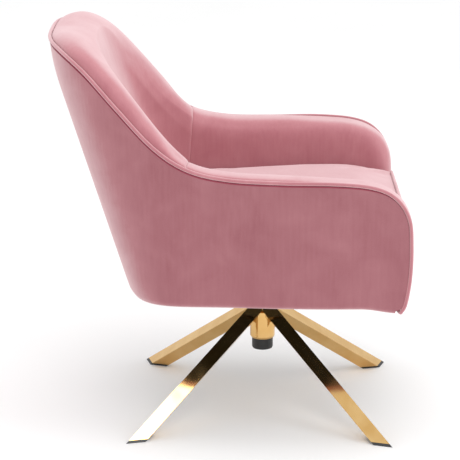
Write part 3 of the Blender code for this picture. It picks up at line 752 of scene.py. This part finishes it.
def armRimPath(count):
    # rim points from the lower front to the seam, evenly spaced, as (forward, height)
    armTopOnly = 0.5
    rim = [p for p in edgeCurve if not (p[0] < bodyShape["seamTop"][0] and p[1] > armTopOnly)]
    rim.append((bodyShape["seamTop"][0] - armPadValues["lap"], bodyShape["seamTop"][1]))
    places = np.array(rim)
    steps = np.hypot(*np.diff(places, axis=0).T)
    run = np.concatenate([[0], np.cumsum(steps)])
    even = np.linspace(0, run[-1], count + 1)
    path = list(zip(np.interp(even, run, places[:, 0]), np.interp(even, run, places[:, 1])))
    return path, run[-1]


def armCrown(forward, distance):
    # full along the arm's rear half, less towards the front corner
    values = armPadValues
    rear = 1 - smoothStep((forward - values["crownEnd"]) / values["crownFade"])
    top = mix(values["crownBeforeCorner"], values["crown"], rear)
    front = smoothStep((forward - values["frontStart"]) / values["frontFade"])
    value = mix(top, values["frontCrown"], front)
    return mix(values["seamCrown"], value, smoothStep(distance / values["seamFade"]))


def armPoint(forward, height, inset):
    # inside the outer face, measured square to it
    reach = bodyShape["armReach"]
    before, after = acrossAt(forward + reach, height), acrossAt(forward - reach, height)
    inward = Vector((-2 * reach, after - before, 0.0)).normalized()
    face = Vector((acrossAt(forward, height), bodyShape["swivelY"] - forward, height))
    return face + inset * inward


def armDown(path, i, towards):
    # from the rim into the arm, parallel to the seam where towards is 1
    if i == 0:
        return Vector((-1.0, 0.0))
    before, after = path[i - 1], path[min(i + 1, len(path) - 1)]
    run = Vector((after[0] - before[0], after[1] - before[1])).normalized()
    seam = Vector((bodyShape["seamLow"][0] - bodyShape["seamTop"][0],
                   bodyShape["seamLow"][1] - bodyShape["seamTop"][1])).normalized()
    return (Vector((-run.y, run.x)) * (1 - towards) + seam * towards).normalized()


def armSection(rim, down, crown, towards):
    # over the crown, down the inner face and up the hidden side; faceEnd closes the face
    arch = [(inset, drop - share * crown) for inset, share, drop in armPadValues["arch"]]
    section = [(inset, rim + down * drop) for inset, drop in curveThrough(arch, 3)]
    depth, last = bodyShape["armThickness"], section[-1][1]
    bottom = armPadValues["bottom"]
    seamFoot = seamPoint(bottom) - armPadValues["lap"]
    foot = Vector((min(max(last.x, seamFoot), armPadValues["mostForward"]), bottom))
    if towards > 0:
        foot = foot.lerp(Vector((seamFoot, bottom)), towards)
    for t in shares(0.0, 1.0, armPadValues["facePoints"])[1:]:
        section.append((depth, last.lerp(foot, t)))
    faceEnd = len(section) - 1
    inset = hiddenSide["inset"]
    inner = rim + down * armPadValues["panelDrop"]
    section.append((inset + hiddenSide["footStep"], foot))
    section.append((inset, foot))
    for t in shares(0.0, 1.0, 5):
        section.append((inset, foot.lerp(inner, t)))
    section.append((hiddenSide["rimInset"], inner))
    return section, faceEnd


def armRow(path, length, i):
    forward, height = path[i]
    depth = bodyShape["armThickness"]
    distance = length * (1 - i / (len(path) - 1))
    towards = smoothStep(1 - distance / armPadValues["turnToSeam"])
    down = armDown(path, i, towards)
    rim = Vector((forward, height))
    section, faceEnd = armSection(rim, down, armCrown(forward, distance), towards)
    dive = seamDive(distance)
    row = []
    for k, (inset, place) in enumerate(section):
        if k < faceEnd:
            facingShare, crownShare = diveShares(inset, depth)
            inset, place = inset - dive * facingShare, place + dive * crownShare * down
        row.append(armPoint(place.x, place.y, inset))
    return row


def makeArmPad(name, side):
    path, length = armRimPath(96)
    rows = [armRow(path, length, i) for i in range(len(path))]
    if side < 0:
        rows = [flipped(row) for row in rows]
    mesh = gridMesh(name, rows, closed=True, capped=True)
    piece = newPiece(name, mesh, padLitCopyVelvet)
    word = "left" if side > 0 else "right"
    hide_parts(f"{word}_arm_foam", f"{word}_arm_inner_cover", f"{word}_arm_front")
    subdivide(piece)


# ---------- back pad

backPadValues = {
    "wingCrown": 0.0220, "wingFade": 0.11,
    "topCrown": 0.0060, "topStart": 0.25,
    "seamCrown": 0.0075,
    "thickFrom": 0.45,  # share of the way to the middle where the full thickness starts
    "relaxSteps": 70, "relaxFrom": 0.030, "relaxLength": 0.045,
    "seamUp": (0.0, -0.0902, 0.9959),  # the crown's direction where it meets the arm
    "turnToSeam": 0.08,
    "bottom": 0.385,
    # section across the top: distance inside the outer face, share of the crown, lift
    "rim": [(0.0045, 0.0, -0.0040), (0.0062, 0.20, 0.0)],
    # the same, with the distance as a share of the pad's thickness
    "arch": [
        (0.13, 0.66, 0.0), (0.27, 0.95, 0.0), (0.42, 1.0, 0.0), (0.57, 0.84, 0.0), (0.71, 0.50, 0.0),
        (0.84, 0.02, -0.002), (0.93, -0.35, -0.006),
    ],
    "faceTop": 0.86, "hiddenTop": 0.965, "diveLevel": 0.8,  # levels on the body
    "facePoints": 30,
}
sharedWall = Wall()


def columnShare(part, height):
    # share of the wall's run for a column of the back pad, 0 at the seam and 1 at the middle
    return mix(seamShare(height), 1.0, part)


def seamShare(height):
    # above the seam the columns keep the share they have at its upper end
    height = min(height, bodyShape["seamTop"][1])
    want = seamPoint(height)
    low, high = 0.5, 0.75
    for _ in range(24):
        middle = (low + high) / 2
        forward, _ = sharedWall.plan(middle, 1.0, height)
        if forward > want:
            low = middle
        else:
            high = middle
    return (low + high) / 2


def backThickness(part):
    grown = smoothStep(part / backPadValues["thickFrom"])
    return mix(bodyShape["armThickness"], bodyShape["backThickness"], grown)


def backCrown(part, distance):
    wing = smoothStep(distance / backPadValues["wingFade"])
    value = mix(backPadValues["seamCrown"], backPadValues["wingCrown"], wing)
    start = backPadValues["topStart"]
    return mix(value, backPadValues["topCrown"], smoothStep((part - start) / (1 - start)))


def relaxed(rows, insets):
    # evens out the inner face from seam to middle, where the corner would pinch it
    places = np.array([[tuple(point) for point in row] for row in rows])
    start, length = backPadValues["relaxFrom"], backPadValues["relaxLength"]
    weights = np.array([smoothStep((inset - start) / length) for inset in insets])[:, None]
    for _ in range(backPadValues["relaxSteps"]):
        beyond = places[-2] * (-1.0, 1.0, 1.0)
        after = np.concatenate([places[2:], beyond[None]])
        places[1:] += 0.5 * weights * ((places[:-1] + after) / 2 - places[1:])
    return [[Vector(point) for point in row] for row in places]


def backUp(share, distance):
    # the crown's direction, the seam's own near the seam
    towards = smoothStep(1 - distance / backPadValues["turnToSeam"])
    seamUp = Vector(backPadValues["seamUp"])
    return (sharedWall.up(share) * (1 - towards) + seamUp * towards).normalized()


def backArch(depth, crown):
    rim = [(inset, share * crown + lift) for inset, share, lift in backPadValues["rim"]]
    arch = [(part * depth, share * crown + lift) for part, share, lift in backPadValues["arch"]]
    return curveThrough(rim + arch, 3)


def backFront(share, part, up, depth, crown):
    # over the crown and down the inner face, as insets and places
    wall = sharedWall
    insets, row = [], []
    for inset, lift in backArch(depth, crown):
        insets.append(inset)
        row.append(wall.point(share, 1.0, inset) + lift * up)
    top = wall.point(share, backPadValues["faceTop"], depth).z
    for t in shares(0.0, 1.0, backPadValues["facePoints"]):
        height = mix(top, backPadValues["bottom"], t)
        column = columnShare(part, height)
        insets.append(depth)
        row.append(wall.point(column, wall.levelAt(column, height), depth))
    return insets, row


def backDive(row, insets, share, up, distance, depth):
    # pulled in at the seam, off the inner face and down from the crown
    dive = seamDive(distance)
    towardsPanel = -sharedWall.inward(share, backPadValues["diveLevel"])
    for inset, place in zip(insets, row):
        facingShare, crownShare = diveShares(inset, depth)
        place += dive * facingShare * towardsPanel
        place -= dive * crownShare * up


def backHidden(share, part):
    # up the side against the plywood
    wall = sharedWall
    bottomShare = columnShare(part, backPadValues["bottom"])
    bottomLevel = wall.levelAt(bottomShare, backPadValues["bottom"])
    top = backPadValues["hiddenTop"]
    points = []
    for t in shares(0.0, 1.0, 5):
        points.append(wall.point(mix(bottomShare, share, t), mix(bottomLevel, top, t), hiddenSide["inset"]))
    points.append(wall.point(share, top, hiddenSide["rimInset"]))
    return points


def makeBackPad():
    topSeam = seamShare(bodyShape["seamTop"][1])
    start = sharedWall.surface(topSeam, 1.0)
    rows, columns = [], []
    for part in shares(0.0, 1.0, 64):
        share = mix(topSeam, 1.0, part)
        distance = (sharedWall.surface(share, 1.0) - start).length
        up = backUp(share, distance)
        depth = backThickness(part)
        insets, row = backFront(share, part, up, depth, backCrown(part, distance))
        columns.append((share, part, up, distance, depth))
        rows.append(row)
    rows = relaxed(rows, insets)
    for row, (share, part, up, distance, depth) in zip(rows, columns):
        backDive(row, insets, share, up, distance, depth)
        row += backHidden(share, part)
    mesh = gridMesh("backPad", bothWays(rows), closed=True, capped=True)
    piece = newPiece("backPad", mesh, padLitCopyVelvet)
    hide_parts("back_foam", "back_inner_cover")
    subdivide(piece)


# ---------- seat

seatValues = {
    "edgeHeight": 0.4475, "crownHeight": 0.4600, "front": 0.283,
    "frontGap": 0.0005,  # behind the border's face
    "outlineHeight": 0.45,  # where the space between arms and back is measured
    "clearance": 0.0012,
    "rollLength": 0.10, "rollPower": 1.5,  # of the rolled front
    "crossCrown": 0.004, "crossFade": 0.6,
    "edgeFall": 0.006, "edgeLength": 0.035,  # the rounded upper edge; its length is a share
    "bottom": 0.378, "sideTop": 0.428,
    "spine": (-0.10, 0.20),  # the middle line that the cushion's rings shrink to
    "rings": 22,
    "sewnBelow": 0.441,
}


def seatOutline():
    # the space between arms and back, from the front corner to the back's middle
    wall = sharedWall
    height, clearance = seatValues["outlineHeight"], seatValues["clearance"]
    half = []
    for forward in shares(seatValues["front"] - seatValues["frontGap"], bodyShape["seamLow"][0], 26):
        half.append(armPoint(forward, height, bodyShape["armThickness"] + clearance))
    for part in shares(0.0, 1.0, 34)[1:]:
        share = columnShare(part, height)
        level = wall.levelAt(share, height)
        half.append(wall.point(share, level, backThickness(part) + clearance))
    return [Vector((place.x, place.y, 0.0)) for place in half]


def seatTop(forward, across, halfSpan):
    # crowned along and across, with a rolled front
    length = seatValues["rollLength"]
    fall = smoothStep((forward - (seatValues["front"] - length)) / length) ** seatValues["rollPower"]
    side = 1 - min(abs(across) / halfSpan, 1.0) ** 4
    cross = seatValues["crossCrown"] * side * (1 - fall * seatValues["crossFade"])
    return mix(seatValues["crownHeight"], seatValues["edgeHeight"], fall) + cross


def allRound(row):
    # a row along one half of the outline, continued along the other half
    return row + flipped(row[-2:0:-1]) + [Vector((-row[0].x, row[0].y, row[0].z))]


def towardsSpine(place, t):
    spine = min(max(bodyShape["swivelY"] - place.y, seatValues["spine"][0]), seatValues["spine"][1])
    return place.lerp(Vector((0.0, bodyShape["swivelY"] - spine, 0.0)), t)


def makeSeat():
    half = seatOutline()
    span = halfWidth(0.0) - bodyShape["armThickness"]
    rows = []
    for height in shares(seatValues["bottom"], seatValues["sideTop"], 6):
        rows.append(allRound([Vector((place.x, place.y, height)) for place in half]))
    for t in shares(0.0, 1.0, seatValues["rings"]):
        edge = math.exp(-t / seatValues["edgeLength"]) * seatValues["edgeFall"]
        row = []
        for place in half:
            point = towardsSpine(place, t)
            point.z = seatTop(bodyShape["swivelY"] - point.y, point.x, span) - edge
            row.append(point)
        rows.append(allRound(row))
    mesh = gridMesh("seatCushion", rows, closed=True, capped=True)
    piece = newPiece("seatCushion", mesh, padLitCopyVelvet)
    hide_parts("seat_cover", "seat_foam")
    puffOut(piece, seatValues["sewnBelow"])
    subdivide(piece)


seatWeltValues = {"radius": 0.0032, "inset": 0.0012, "lap": 0.001, "drop": 0.0075, "rise": 0.002}


def makeSeatWelt():
    y = bodyShape["swivelY"] - seatValues["front"] + seatWeltValues["inset"]
    half = halfWidth(seatValues["front"]) - bodyShape["armThickness"] + seatWeltValues["lap"]
    low = seatValues["edgeHeight"] - seatWeltValues["drop"]
    points = []
    for x in shares(-half, half, 60):
        points.append(Vector((x, y, low + seatWeltValues["rise"] * (1 - (x / half) ** 4))))
    piece = weltTube("seatWelt", points, seatWeltValues["radius"])
    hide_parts("seat_piping")


borderValues = {
    "lap": 0.0050, "inset": 0.004, "top": 0.437, "bottom": 0.303,
    "bulge": 0.007, "edgeLength": 0.010,
    "lowerTurn": 0.006, "lowerDrop": 0.003, "thickness": 0.030,
}


def borderSection(x, half):
    # the padded face from top to bottom, then round the board behind it
    values = borderValues
    face = bodyShape["swivelY"] - seatValues["front"] + values["inset"]
    edge = math.exp(-(half - abs(x)) / values["edgeLength"])
    points = []
    for t in shares(0.0, 1.0, 24):
        bulge = values["bulge"] * (1 - (2 * t - 1) ** 4) * (1 - edge)
        points.append(Vector((x, face - bulge, mix(values["top"], values["bottom"], t))))
    low = values["bottom"] - values["lowerDrop"]
    front = points[-1].y
    rear = front + values["thickness"]
    points.append(Vector((x, front + values["lowerTurn"], low)))
    for height in (low, mix(values["top"], values["bottom"], 0.5), values["top"]):
        points.append(Vector((x, rear, height)))
    return points


def makeFrontBorder():
    # padded board below the cushion, between the arms
    half = halfWidth(seatValues["front"]) - bodyShape["armThickness"] + borderValues["lap"]
    rows = [borderSection(x, half) for x in shares(-half, half, 60)]
    mesh = gridMesh("frontBorder", rows, closed=True, capped=True)
    piece = newPiece("frontBorder", mesh, pinkVelvet)
    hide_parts("front_border")
    subdivide(piece)


dustCoverValues = {
    "edgeInset": 0.020, "frontShare": 0.03,
    "opening": 0.101,  # half the square opening for the swivel plate
    "openingHeight": 0.2990,
    "gap": 0.0006, "sag": 0.0015,
}


def makeDustCover():
    # black lining stretched and stapled under the frame
    values = dustCoverValues
    low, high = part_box("swivel_plate")
    middle = (low + high) / 2
    half = [sharedWall.point(share, 0.0, values["edgeInset"])
            for share in shares(values["frontShare"], 1.0, 60)]
    outline = half + flipped(half[-2::-1])
    inner = []
    for place in outline:
        away = Vector((place.x - middle.x, place.y - middle.y))
        away *= values["opening"] / max(abs(away.x), abs(away.y))
        inner.append(Vector((middle.x + away.x, middle.y + away.y, values["openingHeight"])))
    rows = []
    for t in shares(0.0, 1.0, 18):
        fall = values["gap"] + values["sag"] * math.sin(math.pi * t)
        rows.append([outer.lerp(inside, t) - Vector((0.0, 0.0, fall))
                     for outer, inside in zip(outline, inner)])
    mesh = gridMesh("dustCover", rows, closed=True)
    piece = newPiece("dustCover", mesh, lining)
    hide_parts("dust_cover")


makeOuterCover()
print("outer cover made")
makeEdgeWelt()
makeArmPad("leftArmPad", 1.0)
makeArmPad("rightArmPad", -1.0)
makeBackPad()
print("arm and back pads made")
makeSeat()
makeSeatWelt()
makeFrontBorder()
makeDustCover()
print("seat made")


# ---------- CAD nodes that stay

woodNodes = (
    "left_rail", "right_rail", "front_rail", "rear_rail", "front_cross_rail", "rear_cross_rail",
    "left_arm_panel", "right_arm_panel", "back_panel",
)
nodeMaterials = {
    "leg_": goldSteel, "hub_sleeve": goldSteel, "hub_tube": goldSteel, "foot_": blackPlastic,
    "hub_end_cap": blackPlastic, "upper_bush": naturalNylon, "lower_bush": naturalNylon,
    "ball_cage": naturalNylon, "swivel_plate": blackPlate, **dict.fromkeys(woodNodes, plywood),
}
# rounded edges in metres, and the segments across each
nodeBevels = {"leg_": (0.0011, 3), "hub": (0.0005, 2), "foot": (0.0005, 2), "swivel_plate": (0.0005, 2)}


def valueFor(name, values, otherwise):
    # the value whose key the node's name starts with
    return next((value for start, value in values.items() if name.startswith(start)), otherwise)


def roundEdges(node, width, segments):
    bevel = node.modifiers.new("roundedEdges", "BEVEL")
    bevel.width = width
    bevel.segments = segments
    bevel.limit_method = "ANGLE"
    bevel.harden_normals = True


def dressNodes():
    for name, node in nodes.items():
        node.data.materials.clear()
        node.data.materials.append(valueFor(name, nodeMaterials, zincSteel))
        bevel = valueFor(name, nodeBevels, None)
        if bevel:
            roundEdges(node, *bevel)


dressNodes()
print("frame dressed")


# ---------- studio

cameraValues = {
    "place": (-4.1898, bodyShape["swivelY"] + 0.0667, 1.5017),
    "yaw": -0.0003, "pitch": 0.26311,  # radians
    "lens": 164.35, "sensor": 36.0,  # millimetres
}


def makeCamera():
    yaw, pitch = cameraValues["yaw"], cameraValues["pitch"]
    ahead = Vector((math.cos(yaw) * math.cos(pitch), -math.sin(yaw) * math.cos(pitch), -math.sin(pitch)))
    camera = bpy.data.objects.new("camera", bpy.data.cameras.new("camera"))
    camera.data.lens = cameraValues["lens"]
    camera.data.sensor_width = cameraValues["sensor"]
    camera.location = cameraValues["place"]
    camera.rotation_euler = ahead.to_track_quat("-Z", "Y").to_euler()
    camera.data.clip_end = 100.0
    bpy.context.scene.collection.objects.link(camera)
    bpy.context.scene.camera = camera


studioValues = {
    "floorHalf": 20.0,
    "floorDrop": 0.0004,  # keeps the floor just clear of the feet
    "roomLight": 1.0,
    # place, target, side and watts
    "softboxSide": ((-3.2, -0.6, 2.9), (0, 0, 0.5), 1.9, 34),
    "reflectionCard": ((-3.1, -0.6, 2.7), (0, 0, 0.4), 2.8, 110),
    "softboxFront": ((-1.0, -2.6, 2.2), (0, 0, 0.4), 1.6, 16),
    "softboxTop": ((0.0, 0.0, 3.2), (0, 0, 0.4), 2.4, 12),
}


def areaLight(name):
    place, target, side, power = studioValues[name]
    light = bpy.data.lights.new(name, "AREA")
    light.shape = "RECTANGLE"
    light.size = side
    light.size_y = side
    light.energy = power
    lamp = bpy.data.objects.new(name, light)
    lamp.location = place
    lamp.rotation_euler = (Vector(target) - Vector(place)).to_track_quat("-Z", "Y").to_euler()
    bpy.context.scene.collection.objects.link(lamp)
    return lamp


def paintedFloor(name):
    # Studio floor, rolled with matt paint, nearly white and slightly uneven.
    material, tree, place = startMaterial(name)
    clouds = noise(tree, place, 2.0, 2.0)
    colour = colourRamp(tree, clouds, [(0.3, "#fbfbfb"), (0.7, "#fdfdfd")])
    finishMaterial(tree, {"Roughness": 0.9, "Specular IOR Level": 0.1}, {"Base Color": colour})
    return material


def makeFloor():
    bm = bmesh.new()
    bmesh.ops.create_grid(bm, x_segments=1, y_segments=1, size=studioValues["floorHalf"])
    mesh = bpy.data.meshes.new("floor")
    bm.to_mesh(mesh)
    bm.free()
    floor = bpy.data.objects.new("floor", mesh)
    floor.location.z = -studioValues["floorDrop"]
    bpy.context.scene.collection.objects.link(floor)
    mesh.materials.append(paintedFloor("paintedFloor"))


def makeStudio():
    makeFloor()
    world = bpy.data.worlds.new("studio")
    bpy.context.scene.world = world
    world.use_nodes = True
    background = world.node_tree.nodes["Background"]
    background.inputs["Color"].default_value = hexToLinear("#ffffff")
    background.inputs["Strength"].default_value = studioValues["roomLight"]
    areaLight("softboxSide")
    # seen only in reflections
    areaLight("reflectionCard").visible_diffuse = False
    areaLight("softboxFront")
    areaLight("softboxTop")
    bpy.context.scene.view_settings.view_transform = "Standard"


makeCamera()
makeStudio()
print("studio made")
